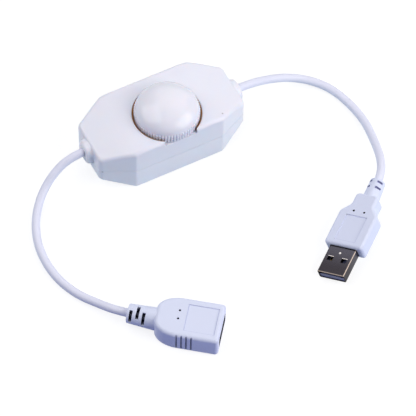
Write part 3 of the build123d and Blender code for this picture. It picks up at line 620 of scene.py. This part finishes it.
class DIMMER_OT_housing(bpy.types.Operator):
    """Finishes the two housing halves and their screws, and lays a brown bead of painted shade in the knob's
    opening
    """
    bl_idname = "dimmer.housing"
    bl_label = "Housing"

    def shade_bead(self, reach):
        """Brown bead of painted shade in the gap round the knob, carried round the opening's wall, from one
        side of the front slot to the other. Its section is half an ellipse: reach * sin(t) in from the wall
        and half its height * cos(t) up it."""
        turn = np.linspace(0, math.pi, BEAD_POINTS)
        half = (BEAD_END - BEAD_START) / 2
        across = OPENING_RADIUS - reach * np.sin(turn)
        height = HOUSING_TOP - BEAD_START - half + half * np.cos(turn)
        gap = math.radians(BEAD_GAP_ANGLE)
        angles = np.linspace(gap - math.pi / 2, 1.5 * math.pi - gap, BEAD_RINGS)[:, None]
        rings = np.stack((KNOB_CENTRE[0] + across * np.cos(angles), KNOB_CENTRE[1] + across * np.sin(angles),
                          np.repeat(height[None], len(angles), axis=0)), axis=-1)
        return round_mesh("opening_grime", rings, rings[0].mean(axis=0), rings[-1].mean(axis=0))

    def execute(self, context):
        plastics = context.scene.dimmer_plastics
        # Marks on the housing: dark specks of dirt, and a painted shadow under the output cord at its gland
        marks = [speck(centre) for centre in SPECKS] + [(gland_gap_shade, "#3C3A58")]
        # Moulded ABS: pale and even, with soft broad highlights and edges that light sinks into
        shell = moulded_plastic("moulded_abs_housing", plastics.housing, roughness=0.3, grain_mm=0.35,
                                height_mm=0.004, marks=marks, depth_mm=1.0)
        # Zinc plate on turned steel: a grey, slightly dull shine
        zinc = drawn_metal("zinc_plated_steel", context.scene.dimmer_metals.screw, roughness=0.35,
                           line_mm=0.1)
        # Painted shade of the gap round the knob, as a bead: brown, rough and without shine
        gap_shade = moulded_plastic("brown_caked_dust", plastics.gap_shade, roughness=0.8, grain_mm=0.1, height_mm=0.01,
                               gloss=0.1)
        dress("upper_housing", shell)
        dress("lower_housing", shell)
        dress("housing_screws", zinc)
        bead = self.shade_bead(context.scene.dimmer_sizes.bead_reach)
        add_piece("opening_grime", bead, "housing", gap_shade)
        return {"FINISHED"}


class DIMMER_OT_knob(bpy.types.Operator):
    """Makes the domed knob with its fluted skirt"""
    bl_idname = "dimmer.knob"
    bl_label = "Knob"

    def profile(self):
        """Half section as radius and height, from the top of the dome round to the end of the bore, and the
        flutes' depth at each point. The dome is a quarter ellipse: foot * sin(t) across and dome height *
        cos(t) up. The hollow under it is one too, and stops at the hub."""
        rim = KNOB_BOTTOM + SKIRT_HEIGHT
        foot = KNOB_RADIUS - DOME_INSET
        inner = KNOB_RADIUS - FLUTE_DEPTH - KNOB_WALL
        turn = np.linspace(0, math.pi / 2, DOME_RINGS + 1)[1:]
        dome = np.stack((foot * np.sin(turn), rim + DOME_HEIGHT * np.cos(turn)), axis=1)
        skirt = [(KNOB_RADIUS, rim - DOME_INSET), (KNOB_RADIUS, rim - DOME_INSET - KNOB_EDGE),
                 (KNOB_RADIUS, KNOB_BOTTOM + KNOB_EDGE), (KNOB_RADIUS - KNOB_EDGE, KNOB_BOTTOM)]
        inside = [(inner + KNOB_EDGE, KNOB_BOTTOM), (inner, KNOB_BOTTOM + KNOB_EDGE)]
        hollow = np.stack((inner * np.cos(turn), rim + (DOME_HEIGHT - KNOB_WALL) * np.sin(turn)), axis=1)
        hollow = hollow[hollow[:, 0] > HUB_RADIUS]
        hub = [(HUB_RADIUS, hollow[-1, 1]), (HUB_RADIUS, KNOB_BOTTOM), (BORE_RADIUS, KNOB_BOTTOM),
               (BORE_RADIUS, KNOB_BOTTOM + BORE_DEPTH)]
        flutes = np.zeros(len(dome) + len(skirt) + len(inside) + len(hollow) + len(hub))
        flutes[len(dome):len(dome) + len(skirt)] = FLUTE_DEPTH
        return np.vstack((dome, skirt, inside, hollow, hub)), flutes

    def mesh(self):
        """The half section carried round the knob's axis. On the skirt the radius loses a rounded V at each
        flute: depth * (1 - |sin(count * angle / 2)|) ** power."""
        profile, flutes = self.profile()
        angles = np.linspace(0, 2 * math.pi, FLUTE_COUNT * POINTS_PER_FLUTE, endpoint=False)
        groove = (1 - np.abs(np.sin(FLUTE_COUNT * angles / 2))) ** FLUTE_POWER
        radius = profile[:, :1] - flutes[:, None] * groove
        height = np.repeat(profile[:, 1:], len(angles), axis=1)
        rings = np.stack((KNOB_CENTRE[0] + radius * np.cos(angles), KNOB_CENTRE[1] + radius * np.sin(angles),
                          height), axis=-1)
        top = (*KNOB_CENTRE, KNOB_BOTTOM + SKIRT_HEIGHT + DOME_HEIGHT)
        return round_mesh("knob_cap", rings, top, (*KNOB_CENTRE, KNOB_BOTTOM + BORE_DEPTH))

    def execute(self, context):
        # Polished ABS: smoother than the housing, so that its dome shows the lamps as bright soft patches
        gloss = moulded_plastic("polished_abs_knob", context.scene.dimmer_plastics.knob, roughness=0.16,
                                grain_mm=0.6, height_mm=0.002, depth_mm=1.5)
        obj = add_piece("knob_cap", self.mesh(), "knob", gloss)
        obj.data.set_sharp_from_angle(angle=math.radians(KNOB_SHARP_ANGLE))
        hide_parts("knob")
        return {"FINISHED"}


class DIMMER_OT_plug(bpy.types.Operator):
    """Finishes the plug's grip, shell, insulator and contacts, and presses the dimple into its shell"""
    bl_idname = "dimmer.plug"
    bl_label = "Plug"

    def dimple(self, deep):
        """Shallow round bowl behind the windows. Its height over the shell's top face is
        depth * ((r / radius) ** 2 - 1), and the plug's turn and place are then applied."""
        share = np.linspace(0, 1, DIMPLE_RINGS + 1)[1:, None]
        angles = np.linspace(0, 2 * math.pi, DIMPLE_POINTS, endpoint=False)
        across = DIMPLE_RADIUS * share
        height = SHELL_TOP + np.repeat(deep * (share ** 2 - 1), len(angles), axis=1)
        bowl = np.stack((across * np.cos(angles) - DIMPLE_BACK, across * np.sin(angles), height), axis=-1)
        turn = np.array(Euler([math.radians(a) for a in PLUG_TURN], "XYZ").to_matrix())
        pole = turn @ np.array((-DIMPLE_BACK, 0.0, SHELL_TOP - deep)) + PLUG_TIP
        return round_mesh("plug_shell_dimple", bowl @ turn.T + np.array(PLUG_TIP), pole)

    def execute(self, context):
        plastics, metals = context.scene.dimmer_plastics, context.scene.dimmer_metals
        cut_shades = [(relief_slot_shade, "#B0B2D4"), (grip_hole_shade, "#0A0A10"), (plug_panel_shade, "#B4B9DC")]
        # Marks on the shell: darker towards its tip, painted shade at its root and in its hollows, painted
        # highlights on its fold, tip rim and window edges
        shell_shade_and_highlights = [(darker_tip, "#332F33"), (shell_root_shade, "#08080A"), (edge_highlights, "#8A7E76"),
                (window_highlights, "#D8D2D0"), (cavity_shade(False, 1.0, 0.3, 0.6), "#08080A")]
        # Painted shade deep in the plug's shell
        deep_shade = [(cavity_shade(False, 2.5, 0.3, 0.75), "#08080A")]
        # Moulded soft vinyl: bluish white and nearly matt, with painted shade in its holes, its slots and its
        # panel's crease
        vinyl = moulded_plastic("soft_vinyl_plug_grip", plastics.grip, roughness=0.36, grain_mm=0.3,
                                height_mm=0.006, marks=cut_shades, gloss=0.12)
        # Nickel plate on folded sheet steel: a mirror darkened by painted shade, darker still towards its
        # tip, with painted highlights on its edges and painted shade at its root and in its hollows
        nickel = drawn_metal("nickel_plated_plug_shell", metals.shell, roughness=0.28, line_mm=0.08,
                             marks=shell_shade_and_highlights)
        # Moulded nylon: satin, with painted shade where it lies deep in the shell
        nylon = moulded_plastic("white_nylon_plug_insulator", plastics.plug_insulator, roughness=0.4,
                                grain_mm=0.3, height_mm=0.003, marks=deep_shade)
        # Gold plate on spring strip: a warm shine, with painted shade where it lies deep in the shell
        gold = drawn_metal("gold_plated_plug_contacts", metals.contact, roughness=0.25, line_mm=0.08,
                           marks=deep_shade)
        # Pressed nickel plate: a small bright point that catches the light
        bright = drawn_metal("pressed_nickel_plate", metals.dimple, roughness=0.25, line_mm=0.08)
        dress("plug_overmould", vinyl)
        dress("plug_shell", nickel)
        dress("plug_insulator", nylon)
        dress("plug_contacts", gold)
        bowl = self.dimple(context.scene.dimmer_sizes.dimple_depth)
        add_piece("plug_shell_dimple", bowl, "housing", bright)
        return {"FINISHED"}


class DIMMER_OT_socket(bpy.types.Operator):
    """Finishes the socket's body, shell, tongue and contacts"""
    bl_idname = "dimmer.socket"
    bl_label = "Socket"

    def execute(self, context):
        plastics, metals = context.scene.dimmer_plastics, context.scene.dimmer_metals
        cut_shades = [(socket_cut_shade, "#14162A"), (socket_panel_shade, "#B4B9DC")]
        # Moulded soft vinyl: bluish white and nearly matt, with painted shade in its cuts and its panel's
        # crease
        vinyl = moulded_plastic("soft_vinyl_socket_body", plastics.grip, roughness=0.36, grain_mm=0.3,
                                height_mm=0.006, marks=cut_shades, gloss=0.12)
        # Nickel plate on sheet steel: a mirror darkened by painted shade, and unworn inside the body
        nickel = drawn_metal("nickel_plated_socket_shell", metals.shell, roughness=0.26, line_mm=0.08)
        # Moulded nylon: clean white and satin
        nylon = moulded_plastic("white_nylon_tongue", plastics.tongue, roughness=0.4, grain_mm=0.3,
                                height_mm=0.003)
        # Gold plate on spring strip: a warm shine
        gold = drawn_metal("gold_plated_socket_contacts", metals.contact, roughness=0.25, line_mm=0.08)
        dress("socket_overmould", vinyl)
        dress("socket_shell", nickel)
        dress("socket_insulator", nylon)
        dress("socket_contacts", gold)
        return {"FINISHED"}


class DIMMER_OT_inside(bpy.types.Operator):
    """Finishes the potentiometer, the board and the parts on it"""
    bl_idname = "dimmer.inside"
    bl_label = "Inside"

    def execute(self, context):
        inside = context.scene.dimmer_inside
        # Moulded epoxy: black and matt, with a fine gritty skin
        resin = moulded_plastic("black_epoxy_package", inside.resin, roughness=0.5, grain_mm=0.1,
                                height_mm=0.008)
        # Extruded vinyl: red and satin
        wire = moulded_plastic("red_vinyl_wire", inside.wire, roughness=0.4, grain_mm=0.2,
                               height_mm=0.004)
        # Moulded phenolic resin: dark blue and satin
        case = moulded_plastic("blue_phenolic_case", inside.case, roughness=0.45, grain_mm=0.2,
                               height_mm=0.006)
        # Pressed phenolic paper: brown and matt, with a grainy skin
        board = moulded_plastic("brown_phenolic_board", inside.board, roughness=0.55, grain_mm=0.4,
                                height_mm=0.01)
        # Turned brass: a yellow shine with fine lines
        brass = drawn_metal("turned_brass_bush", inside.bush, roughness=0.3, line_mm=0.1)
        # Turned aluminium: a pale, soft shine with fine lines
        shaft = drawn_metal("turned_aluminium_shaft", inside.shaft, roughness=0.35, line_mm=0.1)
        # Tin on copper pins: grey and a little dull
        tin = drawn_metal("tinned_copper_pins", inside.pins, roughness=0.4, line_mm=0.1)
        # Drawn aluminium: a pale shine with fine lines
        can = drawn_metal("drawn_aluminium_can", inside.can, roughness=0.3, line_mm=0.1)
        looks = {
            "potentiometer_case": case, "potentiometer_bush": brass, "potentiometer_shaft": shaft,
            "potentiometer_terminals": tin, "circuit_board": board, "electrolytic_capacitor": can,
            "control_chip": resin, "power_transistor": resin, "protection_diode": resin,
            "chip_resistors": resin, "input_leads": wire, "output_leads": wire}
        for name, material in looks.items():
            dress(name, material)
        return {"FINISHED"}


class DIMMER_OT_stage(bpy.types.Operator):
    """Sets the pale floor, the soft studio light and the camera"""
    bl_idname = "dimmer.stage"
    bl_label = "Stage"

    def seen_rays(self, tree):
        """One for rays from the camera, from mirrors and through clear pieces, and zero for bounced light."""
        path = add_node(tree, "ShaderNodeLightPath").outputs
        sharp = add_node(tree, "ShaderNodeMath", {"operation": "MAXIMUM"}, i0=path["Is Camera Ray"],
                         i1=path["Is Transmission Ray"]).outputs[0]
        return add_node(tree, "ShaderNodeMath", {"operation": "MAXIMUM"}, i0=sharp,
                        i1=path["Is Glossy Ray"]).outputs[0]

    def floor(self):
        """Flat pale floor. The camera and mirrors see white paper with the object's shadow. The light that it
        throws back is bluish, and weaker in front."""
        corners = np.array([(-1, -1, 0), (1, -1, 0), (1, 1, 0), (-1, 1, 0)]) * FLOOR_HALF
        mesh = bpy.data.meshes.new("floor")
        mesh.from_pydata(corners.tolist(), [], [(0, 1, 2, 3)])
        obj = add_object("floor", mesh)
        # Matt paper: white to the eye, with a soft shadow
        material, tree, output, where = new_material("pale_paper_floor")
        along = add_node(tree, "ShaderNodeVectorMath", {"operation": "DOT_PRODUCT"}, i0=where,
                         i1=FLOOR_FRONT).outputs["Value"]
        tint = add_node(tree, "ShaderNodeMixRGB", {}, Fac=zone(tree, (along, *FLOOR_FADE, 0.0, 1.0)),
                        Color1=rgba(linear("#AEC8DC")), Color2=rgba(linear("#3C58B4"))).outputs[0]
        bounce = add_node(tree, "ShaderNodeBsdfDiffuse", {}, Color=tint)
        paper = add_node(tree, "ShaderNodeBsdfDiffuse", {}, Color=rgba(linear("#8C8C8E")))
        glow = add_node(tree, "ShaderNodeEmission", {}, Color=WHITE, Strength=FLOOR_GLOW)
        white = add_node(tree, "ShaderNodeAddShader", {}, i0=paper.outputs[0], i1=glow.outputs[0])
        mix = add_node(tree, "ShaderNodeMixShader", {}, Fac=self.seen_rays(tree), i1=bounce.outputs[0],
                       i2=white.outputs[0])
        tree.links.new(mix.outputs[0], output.inputs["Surface"])
        finish(obj, material)

    def light(self, name, settings):
        """Square soft box at an azimuth and an elevation, which faces the middle of the object."""
        azimuth, elevation, colour = LAMPS[name]
        lamp = bpy.data.lights.new(name, "AREA")
        lamp.shape = "SQUARE"
        lamp.size = settings.lamp_size
        lamp.energy = getattr(settings, name)
        lamp.color = colour
        turn, rise = math.radians(azimuth), math.radians(elevation)
        away = Vector((math.cos(turn) * math.cos(rise), math.sin(turn) * math.cos(rise), math.sin(rise)))
        obj = add_object(name, lamp)
        obj.location = Vector(LAMP_AIM) + away * settings.lamp_distance
        obj.rotation_euler = away.to_track_quat("Z", "Y").to_euler()

    def world(self, strength):
        """Even light from all round, which the camera sees as white."""
        world = bpy.data.worlds.new("studio")
        bpy.context.scene.world = world
        world.use_nodes = True
        tree = world.node_tree
        tree.nodes.clear()
        soft = add_node(tree, "ShaderNodeBackground", {}, Color=rgba(linear("#E4E8FC")), Strength=strength)
        white = add_node(tree, "ShaderNodeBackground", {}, Color=WHITE, Strength=1.0)
        mix = add_node(tree, "ShaderNodeMixShader", {}, Fac=self.seen_rays(tree), i1=soft.outputs[0],
                       i2=white.outputs[0])
        add_node(tree, "ShaderNodeOutputWorld", {}, Surface=mix.outputs[0])

    def camera(self):
        """Camera at the photograph's angle, turned so that its axis goes through the picture's middle."""
        azimuth, elevation = math.radians(CAMERA_AZIMUTH), math.radians(CAMERA_ELEVATION)
        back = Vector((math.sin(azimuth) * math.cos(elevation), -math.cos(azimuth) * math.cos(elevation),
                       math.sin(elevation)))
        right = Vector((math.cos(azimuth), math.sin(azimuth), 0.0))
        up = back.cross(right)
        aside = (PICTURE / 2 - ORIGIN_PIXEL[0]) / FOCAL_PIXELS
        below = (PICTURE / 2 - ORIGIN_PIXEL[1]) / FOCAL_PIXELS
        z_axis = (back - right * aside + up * below).normalized()
        x_axis = (right - z_axis * right.dot(z_axis)).normalized()
        y_axis = z_axis.cross(x_axis)
        data = bpy.data.cameras.new("camera")
        data.sensor_width = SENSOR
        data.lens = FOCAL_PIXELS / PICTURE * SENSOR
        data.clip_end = CAMERA_REACH
        obj = add_object("camera", data)
        turn = Matrix((x_axis, y_axis, z_axis)).transposed().to_4x4()
        obj.matrix_world = Matrix.Translation(back * CAMERA_DISTANCE) @ turn
        bpy.context.scene.camera = obj

    def execute(self, context):
        settings = context.scene.dimmer_stage
        self.floor()
        self.world(settings.sky)
        for name in LAMPS:
            self.light(name, settings)
        self.camera()
        context.scene.view_settings.view_transform = "Standard"
        return {"FINISHED"}


class DIMMER_PT_panel(bpy.types.Panel):
    """Lists the settings and the operators"""
    bl_idname = "DIMMER_PT_panel"
    bl_label = "Dimmer"
    bl_space_type = "VIEW_3D"
    bl_region_type = "UI"
    bl_category = "Dimmer"

    def draw(self, context):
        for name, group in GROUPS.items():
            for key in group.__annotations__:
                self.layout.prop(getattr(context.scene, name), key)
        for operator in OPERATORS:
            self.layout.operator(operator.bl_idname)


GROUPS = {
    "dimmer_sizes": DimmerSizes,
    "dimmer_plastics": DimmerPlasticColours,
    "dimmer_metals": DimmerMetalColours,
    "dimmer_inside": DimmerInsideColours,
    "dimmer_stage": DimmerStage,
}
OPERATORS = (DIMMER_OT_stage, DIMMER_OT_cords, DIMMER_OT_housing, DIMMER_OT_knob, DIMMER_OT_plug,
             DIMMER_OT_socket, DIMMER_OT_inside)
CLASSES = (*GROUPS.values(), *OPERATORS, DIMMER_PT_panel)


def register():
    """Adds the settings, the operators and the panel to Blender."""
    for cls in CLASSES:
        bpy.utils.register_class(cls)
    for name, group in GROUPS.items():
        setattr(bpy.types.Scene, name, PointerProperty(type=group))


def unregister():
    """Takes them out again."""
    for name in GROUPS:
        delattr(bpy.types.Scene, name)
    for cls in reversed(CLASSES):
        bpy.utils.unregister_class(cls)


def main():
    """Runs the operators in order."""
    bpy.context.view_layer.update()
    register()
    bpy.ops.dimmer.stage()
    bpy.ops.dimmer.cords()
    bpy.ops.dimmer.housing()
    bpy.ops.dimmer.knob()
    bpy.ops.dimmer.plug()
    bpy.ops.dimmer.socket()
    bpy.ops.dimmer.inside()


if __name__ == "__main__":
    main()
